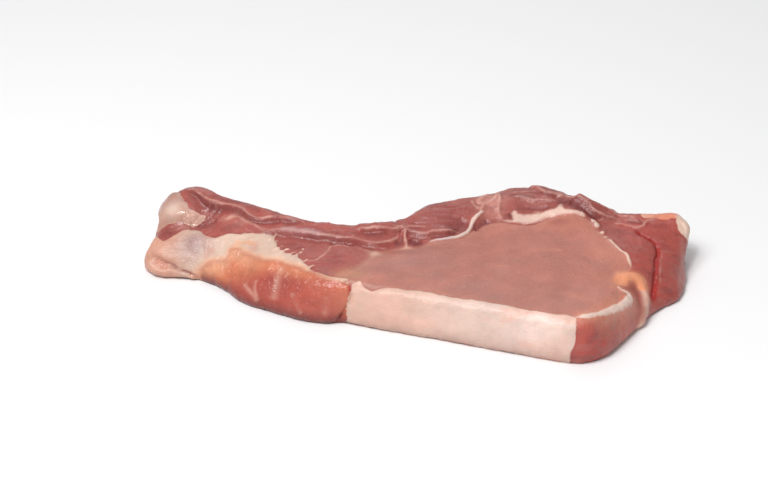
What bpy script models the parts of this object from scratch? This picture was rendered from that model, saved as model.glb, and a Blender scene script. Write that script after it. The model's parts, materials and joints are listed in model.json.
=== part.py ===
"""A raw pork chop, lying on its cut face.

Its lean meat is one solid. The band of back fat along its outer edge, the fat of its flank and the end of
the rib are solids of their own, each a hair's breadth from the lean. +Z is up, X runs along the chop from
the rib to the loin, and the outer edge, with the back fat, faces -Y. Sizes below are in millimetres.
"""

import math

import bmesh
import bpy
import numpy as np
from mathutils import Matrix, Vector, noise

MM = 0.001

# Driving sizes.
SLAB = 16.0  # thickness of the flat slab that is cut out before it is shaped
FAT_WIDTHS = (4.0, 5.8)  # of the back fat on the cut face, at its left and right ends
GAP = 0.3  # between neighbouring solids
OUTSIDE = 8.0  # how far a cutter reaches past the chop's side
CUTTER_SPAN = (-5.0, 30.0)  # lowest and highest point of a cutter
CURVE_STEP = 3.0  # between points along a curve
GRID = 3.4  # between the cuts that let a face bend
WALL_LEVELS = (0.13, 0.38, 0.66, 0.88)  # heights of the cuts round the side, as shares of the slab
RIM_DROP = 1.5  # how far the rounded upper rim lies below the cut face
RIM_WIDTH = 3.0  # width of that rounding
TUCK = 1.5  # how far the lower rim is drawn in, so that it is rounded too
UNEVEN = 0.45  # height of the cut face's soft unevenness
UNEVEN_SIZE = 14.0  # distance over which it varies
SHARP_ANGLE = math.radians(38)

# The chop's outline at its widest, counterclockwise from the left end of the back fat. The third number
# says how far the upper rim leans in from the widest line, and so how much the side slopes there.
OUTLINE = [
    (-26, -19.3, 1.5),
    (-14, -23.8, 2.0),
    (10, -31.5, 2.0),
    (32, -39, 2.0),
    (53, -45.5, 2.0),
    (63, -42.5, 3.5),
    (71.5, -32.5, 4.5),
    (78.5, -21, 5.0),
    (86.5, -10.5, 6.0),
    (94, -4.5, 5.0),
    (97.5, 6, 3.0),
    (100.5, 22, 1.0),
    (98, 30.5, 1.0),
    (87, 31.5, 1.5),
    (75, 31.5, 1.5),
    (64, 36, 1.5),
    (51, 44.5, 1.5),
    (36, 44, 1.5),
    (22, 38.5, 1.5),
    (9, 33.5, 1.5),
    (-3, 25.5, 1.5),
    (-18, 20.5, 1.5),
    (-35, 22.5, 1.5),
    (-52, 29.5, 1.5),
    (-67, 38, 1.5),
    (-80, 46.5, 1.5),
    (-88.5, 47, 2.0),
    (-95, 39, 2.0),
    (-97.5, 28, 2.5),
    (-100.5, 19, 3.0),
    (-95, 12.5, 4.0),
    (-82, 11, 6.5),
    (-72, 4.5, 8.0),
    (-63, -6, 8.0),
    (-51, -13, 8.0),
    (-41, -18.2, 5.0),
    (-32, -20, 3.0),
]
BACK_FAT_ENDS = ((-25, -20.5), (53, -45.5))
# The flank fat in plan, counterclockwise. Its outer corners lie clear of the chop.
FLANK_FAT = [(-70, -12), (-61, -2), (-53, 8), (-60, 15.5), (-74, 20), (-87, 24), (-108, 27), (-108, -2)]

# The cut face's height: a level, with ridges and hollows that follow these lines. Each has its height
# and the distance over which it fades.
LEVEL = 15.8
FOLDS = {
    "inner ridge": ([(6, 27), (24, 32), (44, 37), (59, 31)], 7.0, 11.0),
    "eye of the loin": ([(10, -10), (45, -8)], 1.0, 28.0),
    "long rib muscle": ([(-84, 42), (-64, 32), (-38, 18), (-12, 16)], 4.8, 6.0),
    "middle rib muscle": ([(-70, 26), (-58, 18), (-42, 13), (-24, 11)], 1.0, 3.5),
    "short rib muscle": ([(-44, 1), (-31, 3), (-21, 2)], 1.0, 6.0),
    "tip of the loin": ([(88, 26), (99, 26)], 2.0, 7.0),
    "saddle": ([(-16, 8), (-8, 9)], -1.6, 6.0),
    "flank slope": ([(-98, 17), (-82, 10), (-69, -1)], -6.0, 13.0),
    "side lobe slope": ([(86, -13), (92, -6), (98, 5)], -9.0, 13.0),
    "lobe slope": ([(-62, -6), (-44, -15)], -2.0, 8.0),
}

# The cleft across the side lobe, from its inner end down to the lower rim.
CLEFT = [(79, 19.5), (85.5, 14.5), (87.8, 10), (86.8, 3), (85.3, -4), (84, -13)]
CLEFT_WIDTH = 1.8
CLEFT_DEPTH = 5.5
CLEFT_TOP = 30.0

RIB_CENTRE = (-86.0, 36.0, 12.3)
RIB_RADII = (10.0, 9.5, 7.6)
RIB_TURN = math.radians(-25)
RIB_SEGMENTS = 28
RIB_RINGS = 18


def smooth_curve(points, closed):
    """Points at even steps along the smooth curve through the given ones."""
    given = np.array(points, float)
    count = len(given)
    places = []
    for start in range(count if closed else count - 1):
        near = np.arange(start - 1, start + 3)
        p0, p1, p2, p3 = given[near % count if closed else near.clip(0, count - 1)]
        steps = max(2, round(np.linalg.norm((p2 - p1)[:2]) / CURVE_STEP))
        for t in np.arange(steps) / steps:
            bend = 2 * p0 - 5 * p1 + 4 * p2 - p3
            twist = 3 * p1 - p0 - 3 * p2 + p3
            places.append(p1 + 0.5 * t * (p2 - p0 + t * (bend + t * twist)))
    if not closed:
        places.append(given[-1])
    return np.array(places)


def inward_of(curve):
    """The unit vector across a closed curve at each of its points, towards its inside."""
    along = np.roll(curve, -1, axis=0)[:, :2] - np.roll(curve, 1, axis=0)[:, :2]
    across = np.stack([-along[:, 1], along[:, 0]], axis=1)
    return across / np.linalg.norm(across, axis=1, keepdims=True)


EDGE = smooth_curve(OUTLINE, closed=True)
INWARD = inward_of(EDGE)
# The middle of the outline's box in plan, which is moved to the origin when an object is made.
MIDDLE = Vector((*(EDGE[:, :2].max(axis=0) + EDGE[:, :2].min(axis=0)) / 2, 0))


def nearest_on_edge(place):
    return int(np.linalg.norm(EDGE[:, :2] - place, axis=1).argmin())


def distance_to_line(places, line):
    """How far each place is from a line through the given points."""
    least = np.full(len(places), np.inf)
    for start, end in zip(line[:-1], line[1:]):
        start, end = np.array(start, float), np.array(end, float)
        run = end - start
        share = np.clip((places - start) @ run / (run @ run), 0, 1)
        least = np.minimum(least, np.linalg.norm(places - start - share[:, None] * run, axis=1))
    return least


def cut_face_height(places):
    height = np.full(len(places), LEVEL)
    for line, rise, fade in FOLDS.values():
        height += rise * np.exp(-((distance_to_line(places, line) / fade) ** 2))
    rough = [noise.noise(Vector((x, y, 0)) / UNEVEN_SIZE) for x, y in places]
    return height + UNEVEN * np.array(rough)


def shape_slab(points):
    """Bends the flat slab to the chop: its side leans in and its cut face rises and falls."""
    plan, share = points[:, :2], points[:, 2] / SLAB
    away = np.linalg.norm(plan[:, None] - EDGE[None, :, :2], axis=2)
    weight = 1 / (away**2 + 0.3) ** 2
    weight /= weight.sum(axis=1, keepdims=True)
    lean_in = weight @ (INWARD * EDGE[:, 2:3])
    inward = weight @ INWARD
    to_edge = away.min(axis=1)
    upper = plan + lean_in
    rounding = np.clip(1 - to_edge / RIM_WIDTH, 0, 1) ** 2
    height = share * (cut_face_height(upper) - RIM_DROP * rounding)
    at_rim = np.exp(-((to_edge / RIM_WIDTH) ** 2))
    lower_rim = np.clip(1 - share / WALL_LEVELS[0], 0, 1) * at_rim
    shaped = plan + lean_in * (share ** (1 + at_rim))[:, None] + inward * (TUCK * lower_rim)[:, None]
    return np.column_stack([shaped, height])


def back_fat_plan(room):
    """The back fat's band in plan, with room round it. Its outer side lies clear of the chop."""
    first, last = (nearest_on_edge(place) for place in BACK_FAT_ENDS)
    run = np.arange(first, last + 1)
    line, inward = EDGE[run, :2], INWARD[run]
    width = room + np.linspace(*FAT_WIDTHS, len(run))[:, None]
    ends = np.zeros((len(run), 1))
    ends[0], ends[-1] = -room, room
    line = line + ends * np.column_stack([inward[:, 1], -inward[:, 0]])
    return np.vstack([line - OUTSIDE * inward, (line + width * inward)[::-1]])


def prism(outline, low, high):
    """A straight-sided block with this plan."""
    bm = bmesh.new()
    face = bm.faces.new([bm.verts.new((x, y, low)) for x, y in outline])
    raised = bmesh.ops.extrude_face_region(bm, geom=[face])["geom"]
    raised_verts = [item for item in raised if isinstance(item, bmesh.types.BMVert)]
    bmesh.ops.translate(bm, verts=raised_verts, vec=(0, 0, high - low))
    return bm


def cut_across(bm, faces, place, normal):
    """Splits the faces at a plane."""
    edges = dict.fromkeys(edge for face in faces for edge in face.edges)
    verts = dict.fromkeys(vert for face in faces for vert in face.verts)
    bmesh.ops.bisect_plane(bm, geom=[*verts, *edges, *faces], plane_co=place, plane_no=normal)


def whole_chop():
    """The chop in one piece: a flat slab, cut up where it has to bend, and then shaped."""
    bm = prism(EDGE[:, :2], 0, SLAB)
    cell = bm.faces.layers.int.new("cell of the cut face")
    cut_face = max(bm.faces, key=lambda face: face.calc_center_median().z)
    cut_face[cell] = 1
    bmesh.ops.inset_region(bm, faces=[cut_face], thickness=RIM_WIDTH, use_even_offset=True)
    rim = [face for face in bm.faces if face is not cut_face]
    for face in rim:
        face[cell] = 0
    for share in WALL_LEVELS:
        cut_across(bm, rim, (0, 0, share * SLAB), (0, 0, 1))
    for normal in (Vector((1, 0, 0)), Vector((0, 1, 0))):
        reaches = [vert.co @ normal for face in bm.faces if face[cell] for vert in face.verts]
        for step in range(math.ceil(min(reaches) / GRID), math.floor(max(reaches) / GRID) + 1):
            cells = [face for face in bm.faces if face[cell]]
            cut_across(bm, cells, normal * step * GRID, normal)
    bmesh.ops.remove_doubles(bm, verts=bm.verts, dist=GRID / 6)
    for vert, place in zip(bm.verts, shape_slab(np.array([vert.co for vert in bm.verts]))):
        vert.co = place
    bmesh.ops.triangulate(bm, faces=bm.faces)
    return bm


def prism_cutter(name, outline):
    return as_cutter(add_object(name, prism(outline, *CUTTER_SPAN), None))


def cleft_cutter():
    """A thin blade that follows the cut face. It is widest and deepest halfway, and nothing at its ends."""
    line = smooth_curve(CLEFT, closed=False)
    along = np.gradient(line, axis=0)
    across = np.column_stack([-along[:, 1], along[:, 0]]) / np.linalg.norm(along, axis=1, keepdims=True)
    swell = np.sin(np.linspace(0, math.pi, len(line)))
    side = (CLEFT_WIDTH / 2 * swell**0.5)[:, None] * across
    outline = np.vstack([line - side, (line + side)[-2:0:-1]])
    depth = CLEFT_DEPTH * np.concatenate([swell, swell[-2:0:-1]]) ** 0.5
    floor = cut_face_height(outline) - depth
    bm = prism(outline, 0, CLEFT_TOP)
    lower = [vert for vert in bm.verts if vert.co.z < CLEFT_TOP / 2]
    for vert, height in zip(lower, floor):
        vert.co.z = height
    bmesh.ops.triangulate(bm, faces=bm.faces)
    return as_cutter(add_object("cleft_cutter", bm, None))


def ellipsoid(grow):
    """The rounded end of the rib. Grown a little, it is the cutter of its socket in the lean."""
    bm = bmesh.new()
    bmesh.ops.create_uvsphere(bm, u_segments=RIB_SEGMENTS, v_segments=RIB_RINGS, radius=1)
    bmesh.ops.scale(bm, vec=[radius + grow for radius in RIB_RADII], verts=bm.verts)
    bmesh.ops.rotate(bm, matrix=Matrix.Rotation(RIB_TURN, 3, "Z"), verts=bm.verts)
    bmesh.ops.translate(bm, vec=RIB_CENTRE, verts=bm.verts)
    return bm


def add_object(name, bm, material):
    """Turns a shape in millimetres into an object in metres, with the chop's middle over the origin."""
    bmesh.ops.translate(bm, vec=-MIDDLE, verts=bm.verts)
    bmesh.ops.scale(bm, vec=(MM, MM, MM), verts=bm.verts)
    bmesh.ops.recalc_face_normals(bm, faces=bm.faces)
    mesh = bpy.data.meshes.new(name)
    bm.to_mesh(mesh)
    bm.free()
    mesh.shade_smooth()
    mesh.set_sharp_from_angle(angle=SHARP_ANGLE)
    mesh.materials.append(material)
    obj = bpy.data.objects.new(name, mesh)
    bpy.context.scene.collection.objects.link(obj)
    return obj


def as_cutter(obj):
    """A cutter is a helper: it shows as wires and isn't rendered."""
    obj.hide_render = True
    obj.display_type = "WIRE"
    return obj


def cut(obj, operation, *cutters):
    for cutter in cutters:
        boolean = obj.modifiers.new(cutter.name, "BOOLEAN")
        boolean.operation = operation
        boolean.solver = "EXACT"
        boolean.object = cutter


def flesh(name, colour, roughness):
    material = bpy.data.materials.new(name)
    material.use_nodes = True
    shader = material.node_tree.nodes["Principled BSDF"]
    shader.inputs["Base Color"].default_value = (*colour, 1)
    shader.inputs["Roughness"].default_value = roughness
    shader.inputs["Metallic"].default_value = 0
    material.diffuse_color = (*colour, 1)
    return material


def grown(outline, reach):
    """A plan with each of its points moved outwards."""
    return outline - reach * inward_of(outline)


def main():
    for obj in list(bpy.data.objects):
        bpy.data.objects.remove(obj)
    lean_meat = add_object("lean_meat", whole_chop(), flesh("pork lean", (0.44, 0.15, 0.13), 0.42))
    back_fat = add_object("back_fat", whole_chop(), flesh("pork back fat", (0.81, 0.6, 0.52), 0.4))
    flank_fat = add_object("flank_fat", whole_chop(), flesh("pork flank fat", (0.74, 0.5, 0.42), 0.38))
    add_object("rib_end", ellipsoid(0), flesh("rib bone", (0.72, 0.5, 0.44), 0.3))

    flank_plan = smooth_curve(FLANK_FAT, closed=True)
    cut(back_fat, "INTERSECT", prism_cutter("back_fat_cutter", back_fat_plan(0)))
    cut(flank_fat, "INTERSECT", prism_cutter("flank_fat_cutter", flank_plan))
    cut(
        lean_meat,
        "DIFFERENCE",
        prism_cutter("back_fat_room", back_fat_plan(GAP)),
        prism_cutter("flank_fat_room", grown(flank_plan, GAP)),
        as_cutter(add_object("rib_socket", ellipsoid(GAP), None)),
        cleft_cutter(),
    )


main()
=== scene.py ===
# %% [markdown]
# # A raw pork chop
#
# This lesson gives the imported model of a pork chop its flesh. The chop is a slice across the loin: a large
# pale muscle, the eye, with a band of firm back fat along its outer edge, darker muscles of the rib at its
# left, back and right, soft flank fat at the lower left, and the rounded end of a rib.
#
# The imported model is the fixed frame. It is loaded first and never changed: each new piece takes the place
# of one of its nodes, and everything below is worked out in the frame's own coordinates.

# %% Load the frame
import itertools
import json
import math

import bmesh
import bpy
import numpy as np
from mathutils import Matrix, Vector

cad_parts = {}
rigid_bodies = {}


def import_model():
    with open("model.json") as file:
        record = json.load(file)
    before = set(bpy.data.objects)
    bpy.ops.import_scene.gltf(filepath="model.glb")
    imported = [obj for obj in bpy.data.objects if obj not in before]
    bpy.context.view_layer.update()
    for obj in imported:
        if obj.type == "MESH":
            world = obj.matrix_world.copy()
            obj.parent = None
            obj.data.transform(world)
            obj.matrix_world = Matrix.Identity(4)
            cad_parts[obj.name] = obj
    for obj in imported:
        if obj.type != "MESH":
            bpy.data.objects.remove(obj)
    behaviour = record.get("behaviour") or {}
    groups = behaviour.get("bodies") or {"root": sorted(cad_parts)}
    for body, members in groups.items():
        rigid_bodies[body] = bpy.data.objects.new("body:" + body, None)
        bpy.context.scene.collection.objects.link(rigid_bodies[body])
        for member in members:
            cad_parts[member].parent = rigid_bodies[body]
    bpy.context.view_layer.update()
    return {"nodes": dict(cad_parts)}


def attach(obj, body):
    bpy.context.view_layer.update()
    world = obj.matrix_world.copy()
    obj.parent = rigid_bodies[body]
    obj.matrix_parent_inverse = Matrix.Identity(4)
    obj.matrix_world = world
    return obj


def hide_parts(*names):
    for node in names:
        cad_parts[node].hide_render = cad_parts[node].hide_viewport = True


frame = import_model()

MM = 0.001

# %% [markdown]
# ## Camera, light and floor
#
# Meat is judged by eye on a counter: from the front, a little above, with a long lens that keeps the slice's
# shape. The light is soft and comes from large areas, because a small lamp would burn white spots into the
# wet surfaces. A white world fills the shadows, and one large soft box above and to the left gives the forms
# their shade and the moist skin its sheen.

# %% Camera
CAMERA_AIM = Vector((-12, 39.17, 0)) * MM
CAMERA_DISTANCE = 800 * MM
CAMERA_ELEVATION = math.radians(30)
CAMERA_LENS = 99.375


def add_object(name, data):
    made = bpy.data.objects.new(name, data)
    bpy.context.scene.collection.objects.link(made)
    return made


camera = add_object("camera", bpy.data.cameras.new("camera"))
camera.data.lens = CAMERA_LENS
towards_camera = Vector((0, -math.cos(CAMERA_ELEVATION), math.sin(CAMERA_ELEVATION)))
camera.location = CAMERA_AIM + towards_camera * CAMERA_DISTANCE
camera.rotation_euler = (math.pi / 2 - CAMERA_ELEVATION, 0, 0)
bpy.context.scene.camera = camera
bpy.context.scene.view_settings.view_transform = "Standard"
print("camera at", [round(place, 3) for place in camera.location])

# %% Light
WORLD_STRENGTH = 0.42
SOFT_BOXES = {
    # name: (place in metres, size in metres, power in watts)
    "key soft box": ((-0.30, -0.35, 0.80), 0.45, 5.8),
    "back soft box": ((0.10, 0.70, 0.60), 0.50, 0.8),
    "glint": ((-0.20, -0.45, 0.80), 0.10, 1.4),
}

world = bpy.data.worlds.new("white studio")
world.use_nodes = True
world.node_tree.nodes["Background"].inputs["Color"].default_value = (1, 1, 1, 1)
world.node_tree.nodes["Background"].inputs["Strength"].default_value = WORLD_STRENGTH
bpy.context.scene.world = world

for name, (place, size, power) in SOFT_BOXES.items():
    lamp = bpy.data.lights.new(name, "AREA")
    lamp.size = size
    lamp.energy = power
    box = add_object(name, lamp)
    box.location = place
    box.rotation_euler = (-Vector(place)).to_track_quat("-Z", "Y").to_euler()
print(len(SOFT_BOXES), "soft boxes and a white world")

# %% [markdown]
# ## Two small helpers
#
# Colours are written as the sRGB hex values that a colour picker shows. Blender's shaders and attributes
# want linear light, so one function turns them. A second function adds a shader node with its settings and
# its links, which keeps each material readable from top to bottom.

# %% Helpers for colours and nodes
def linear(code):
    """The linear red, green and blue of an sRGB hex colour."""
    shares = [int(code[at : at + 2], 16) / 255 for at in (1, 3, 5)]
    return np.array([share / 12.92 if share <= 0.04045 else ((share + 0.055) / 1.055) ** 2.4
        for share in shares])


def add_node(tree, kind, links=None, **settings):
    """Adds a node. links gives its inputs, by name or number, a value or another node's output."""
    made = tree.nodes.new("ShaderNode" + kind)
    for name, value in settings.items():
        setattr(made, name, value)
    for name, value in (links or {}).items():
        if isinstance(value, bpy.types.NodeSocket):
            tree.links.new(value, made.inputs[name])
        else:
            made.inputs[name].default_value = value
    return made


def new_material(name, colour, **constants):
    """A material with a Principled shader, whose constant values sit on its own sockets."""
    material = bpy.data.materials.new(name)
    material.use_nodes = True
    shader = material.node_tree.nodes["Principled BSDF"]
    shader.inputs["Base Color"].default_value = (*linear(colour), 1)
    for socket, value in constants.items():
        shader.inputs[socket.replace("_", " ")].default_value = value
    return material, shader


# %% Floor
FLOOR_SIZE = 6.0
FLOOR_DROP = 0.2 * MM  # keeps the floor clear of the chop's underside

# Matt white card: it gives the eye an even ground, and catches only a soft shadow.
white_card, _ = new_material("matt white card", "#f4f4f5", Roughness=0.9)
card = bmesh.new()
bmesh.ops.create_grid(card, x_segments=1, y_segments=1, size=FLOOR_SIZE / 2)
bmesh.ops.translate(card, verts=card.verts, vec=(0, 0, -FLOOR_DROP))
floor_mesh = bpy.data.meshes.new("floor")
card.to_mesh(floor_mesh)
card.free()
floor_mesh.materials.append(white_card)
floor = add_object("floor", floor_mesh)
print("floor", FLOOR_SIZE, "m wide")

# %% [markdown]
# ## One body of flesh
#
# Lean and fat have grown together, so their surface runs on without a step where one meets the other. The
# frame's solids keep small gaps. Modelling each piece by itself would show those gaps as lines. So copies of
# the four solids are first joined into one body: each is grown by a little more than half a gap, and a voxel
# remesh melts them together. Its even quads also suit the sculpting that follows.

# %% Join the solids
GROWTH = 0.25 * MM  # just over half of the gap between two solids
VOXEL = 1.0 * MM
SMOOTHING_ROUNDS = 4


def merged_copy(node):
    """The mesh of a CAD node as a bmesh, with its loose triangles joined."""
    bm = bmesh.new()
    bm.from_mesh(frame["nodes"][node].data)
    bmesh.ops.remove_doubles(bm, verts=bm.verts, dist=0.001 * MM)
    bm.normal_update()
    return bm


def to_object(name, bm):
    mesh = bpy.data.meshes.new(name)
    bm.to_mesh(mesh)
    bm.free()
    return add_object(name, mesh)


def with_modifiers_applied(obj):
    """A new mesh, as the object's modifiers make it. The object is removed."""
    graph = bpy.context.evaluated_depsgraph_get()
    made = bpy.data.meshes.new_from_object(obj.evaluated_get(graph))
    bpy.data.objects.remove(obj)
    return made


body = bmesh.new()
for node in ("lean_meat", "back_fat", "flank_fat", "rib_end"):
    solid = merged_copy(node)
    grown = [(vert, vert.co + vert.normal * GROWTH) for vert in solid.verts]
    for vert, place in grown:
        vert.co = place
    shell = bpy.data.meshes.new(node + " shell")
    solid.to_mesh(shell)
    solid.free()
    body.from_mesh(shell)
    bpy.data.meshes.remove(shell)
body = to_object("body", body)
melt = body.modifiers.new("melt", "REMESH")
melt.mode = "VOXEL"
melt.voxel_size = VOXEL
flesh = bmesh.new()
flesh.from_mesh(with_modifiers_applied(body))
print("joined body:", len(flesh.faces), "quads")

# %% [markdown]
# The remesh leaves small steps, which a few rounds of smoothing take away. The upper face and the sides are
# what the eye rests on, so only their quads are split into four. The underside keeps the coarser mesh and
# lies flat on the floor.

# %% Smooth it, and refine what shows
FLAT_LEVEL = 0.6 * MM  # below this height the underside is flat
REFINED_ABOVE = 1.5 * MM


def relax(bm, rounds, factor=0.5, verts=None):
    for _ in range(rounds):
        bmesh.ops.smooth_vert(
            bm, verts=verts or bm.verts, factor=factor, use_axis_x=True, use_axis_y=True, use_axis_z=True
        )


relax(flesh, SMOOTHING_ROUNDS)
shown = [face for face in flesh.faces if face.calc_center_median().z > REFINED_ABOVE]
edges = list(dict.fromkeys(edge for face in shown for edge in face.edges))
bmesh.ops.subdivide_edges(flesh, edges=edges, cuts=1, use_grid_fill=True)
relax(flesh, 2)
for vert in flesh.verts:
    if vert.co.z < FLAT_LEVEL:
        vert.co.z = 0
flesh.normal_update()
print("refined body:", len(flesh.faces), "faces")

# %% [markdown]
# ## Routes over the flesh
#
# A butcher sees a chop as muscles with seams between them, and each seam is a line that can be followed with
# a finger. Here each one is a short list of points, in millimetres in the frame's own plan. A smooth curve
# runs through them. `reach` then tells, for every vertex, how far it is from such a route, on which side of
# it, and how far along it. Relief and paint are both worked out from that, so that a groove and its colour
# never drift apart.

# %% Routes and distances
ROUTE_STEP = 0.7  # mm between points along a smooth route
FAR = 1e3


def smooth_route(points, closed=False):
    """Points at even steps along the smooth curve through the given ones."""
    given = np.array(points, float)
    count = len(given)
    places = []
    for start in range(count if closed else count - 1):
        near = np.arange(start - 1, start + 3)
        p0, p1, p2, p3 = given[near % count if closed else near.clip(0, count - 1)]
        steps = max(1, round(np.linalg.norm(p2 - p1) / ROUTE_STEP))
        for t in np.arange(steps) / steps:
            bend = 2 * p0 - 5 * p1 + 4 * p2 - p3
            twist = 3 * p1 - p0 - 3 * p2 + p3
            places.append(p1 + 0.5 * t * (p2 - p0 + t * (bend + t * twist)))
    places.append(places[0] if closed else given[-1])
    return np.array(places)


def reach(points, places, span, closed=False):
    """How far each place is from the route, its side (1 is the left), and its share of the way along."""
    route = smooth_route(points, closed)
    flat = places[:, : route.shape[1]]
    away = np.full(len(places), FAR)
    side = np.ones(len(places))
    share = np.zeros(len(places))
    close = (flat > route.min(axis=0) - span) & (flat < route.max(axis=0) + span)
    near = np.flatnonzero(close.all(axis=1))
    spots = flat[near]
    for at, (start, end) in enumerate(zip(route[:-1], route[1:])):
        run = end - start
        t = np.clip((spots - start) @ run / (run @ run), 0, 1)
        gap = spots - start - t[:, None] * run
        distance = np.linalg.norm(gap, axis=1)
        closer = distance < away[near]
        which = near[closer]
        away[which] = distance[closer]
        side[which] = np.where(run[0] * gap[closer, 1] > run[1] * gap[closer, 0], 1, -1)
        share[which] = (at + t[closer]) / (len(route) - 1)
    return away, side, share


def signed(places, route, span=60):
    """Distance from the route, positive on its left."""
    away, side, _ = reach(route, places, span)
    return away * side


def blob(places, middle, radius):
    """1 at the middle, fading over the radius."""
    gaps = places[:, : len(middle)] - middle
    return np.exp(-((gaps / radius) ** 2).sum(axis=1))


def depth_inside(outline, places):
    """How deep each place lies inside a closed smooth outline, in plan. Outside it is negative."""
    away, _, _ = reach(outline, places, FAR, closed=True)
    route = smooth_route(outline, closed=True)
    inside = np.zeros(len(places), bool)
    for start, end in zip(route[:-1], route[1:]):
        crosses = (start[1] > places[:, 1]) != (end[1] > places[:, 1])
        rise = end[1] - start[1] or 1.0
        at = start[0] + (places[:, 1] - start[1]) * (end[0] - start[0]) / rise
        inside ^= crosses & (places[:, 0] < at)
    return np.where(inside, away, -away)


def ease(values, low, high):
    """0 up to low, 1 from high, and a smooth way between."""
    t = np.clip((values - low) / (high - low), 0, 1)
    return t * t * (3 - 2 * t)


def unevenness(places, size, shift=0):
    """Soft random values from -1 to 1, that vary over the given distance in mm."""
    spots = places / size + shift
    corner = np.floor(spots)
    blend = ease(spots - corner, 0, 1)
    total = np.zeros(len(places))
    for step in itertools.product((0, 1), repeat=3):
        scrambled = np.sin((corner + step) @ (127.1, 311.7, 74.7)) * 43758.5
        total += np.where(step, blend, 1 - blend).prod(axis=1) * (scrambled - np.floor(scrambled))
    return 2 * total - 1


# %% [markdown]
# The seams, folds and edges of this chop follow. The eye of the loin fills the middle. Behind it a ridge of
# small folded muscles carries white fat, the rib's muscles run out to the left as three long strips, and the
# side lobe at the right is split by a cleft.

# %% The chop's own routes
EYE = [
    (-26, -17.5), (-25.5, -14.5), (-21.5, -10), (-18, -5), (-16.5, -0.5), (-16, 3), (-12, 4.3), (-5, 6.4),
    (1, 5.4), (4.7, 8.4), (8, 9.4), (14, 10.4), (21, 15.5), (27, 19), (32, 20), (40, 19.5), (46, 21.5),
    (53, 23), (57.5, 22.8), (61.5, 21), (64, 18.5), (68.5, 13), (72, 5.5), (75.6, -1), (75.5, -5),
    (73, -9.5), (70, -17), (70, -24), (67, -33), (61, -38), (53, -41), (38, -36.6), (20, -30.8),
    (2, -25), (-7, -22.8), (-14, -21.5), (-19, -20),
]
BACK_FAT_SEAM = [(-24, -18.5), (-10, -22), (11.6, -28), (32, -34.6), (53.3, -41)]
BACK_FAT = [(-31, -20.1), (-14, -24.6), (10, -32.6), (32, -40.1), (53, -46.6)]
FAT_CUT_EDGE = [
    (-27, -18), (-23.5, -18), (-20.5, -17.6), (-19.5, -19.8), (-16.5, -21.6), (-12, -21.8), (-7, -22.8),
    (0, -24.5), (11, -28), (28, -33.5), (41, -37.6), (54, -41.3), (60, -43),
]
FLANK_FAT_PLAN = [
    (-70, -13.1), (-61, -3.1), (-53, 6.9), (-60, 14.4), (-74, 18.9), (-87, 22.9), (-108, 25.9),
    (-108, -3.1),
]
TORN_FAT_EDGE = [
    (-101, 26.5), (-96.6, 24.4), (-94.4, 21), (-92.5, 19.2), (-89.5, 20.8), (-85.7, 23), (-82, 22.8),
    (-79.5, 21.5), (-77, 18.8),
    (-73.5, 17.2), (-69, 18), (-64, 16.5), (-59, 15), (-54.5, 14), (-52.3, 13.2), (-51.5, 9.5), (-48, 2.5),
    (-44, -1), (-40, -6), (-36.5, -10.5), (-33.5, -12.6), (-31, -15),
]
FAT_SPIKES = [
    # from the root to the tip
    [(-54, 11), (-51, 13.6)], [(-53.4, 8), (-50.4, 10.4)], [(-52, 4.6), (-48.8, 7.4)],
    [(-50, 2), (-46.6, 4.6)],
    [(-47, -1), (-43.6, 1.4)], [(-45.4, -3), (-42, 0.6), (-40.8, 3.6)], [(-42.4, -5.6), (-39, -2.8)],
    [(-39.6, -8.6), (-36.6, -6.4)],
]
LOBE_FADE = [
    (-95, 3), (-82, 8.5), (-76, 9.5), (-71, 8.3), (-68.6, 9), (-67.5, 10.8), (-65, 10.4), (-61.5, 6.5),
    (-56.5, 2.4), (-52, -1.4), (-48, -4), (-42, -7.6), (-37, -11.4), (-32, -15.6), (-26, -17.5), (-23, -19),
]
KNOB_MIDDLE, KNOB_RADII, KNOB_TURN = (-86, 34.9), (10.2, 9.7), math.radians(-25)
KNOB_BOTTOM = 4.5
CARTILAGE = [
    (-97, 27), (-92.6, 27), (-89, 26.2), (-86, 26.2), (-84, 25.4), (-81, 26), (-78.6, 27.6), (-77.8, 29.2),
    (-80.5, 29.8), (-83.4, 30.6), (-85.2, 33), (-86.8, 36.5), (-88.5, 40), (-91, 46), (-104, 46),
    (-104, 32),
]
CLEFT = [(79, 19), (82.4, 16.8), (84.8, 15), (87.2, 12.6), (87.6, 9), (86.4, 4), (85.6, -1), (84.4, -8),
    (83.4, -13)]
ORANGE_CURL = [
    (71, -14.4, 13.6), (73.6, -10.2, 13), (76.6, -8.2, 12), (79.2, -9, 10), (80.3, -12, 7.4), (80, -17, 5),
    (78.6, -21.5, 2.6), (76.5, -26, 0.5),
]
WHITE_CURL = [
    (70.2, -18.6), (71.6, -20.4), (74, -20), (74, -22), (72.4, -25), (70, -29), (66, -34.4), (62, -38.2),
    (57, -40.6), (53, -41.6),
]
LOBE_TOP = [
    (82.6, 25.6), (85, 24), (88, 23.8), (92, 23.7), (96, 24), (103, 25.4), (103, 36), (86, 36),
]

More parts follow.
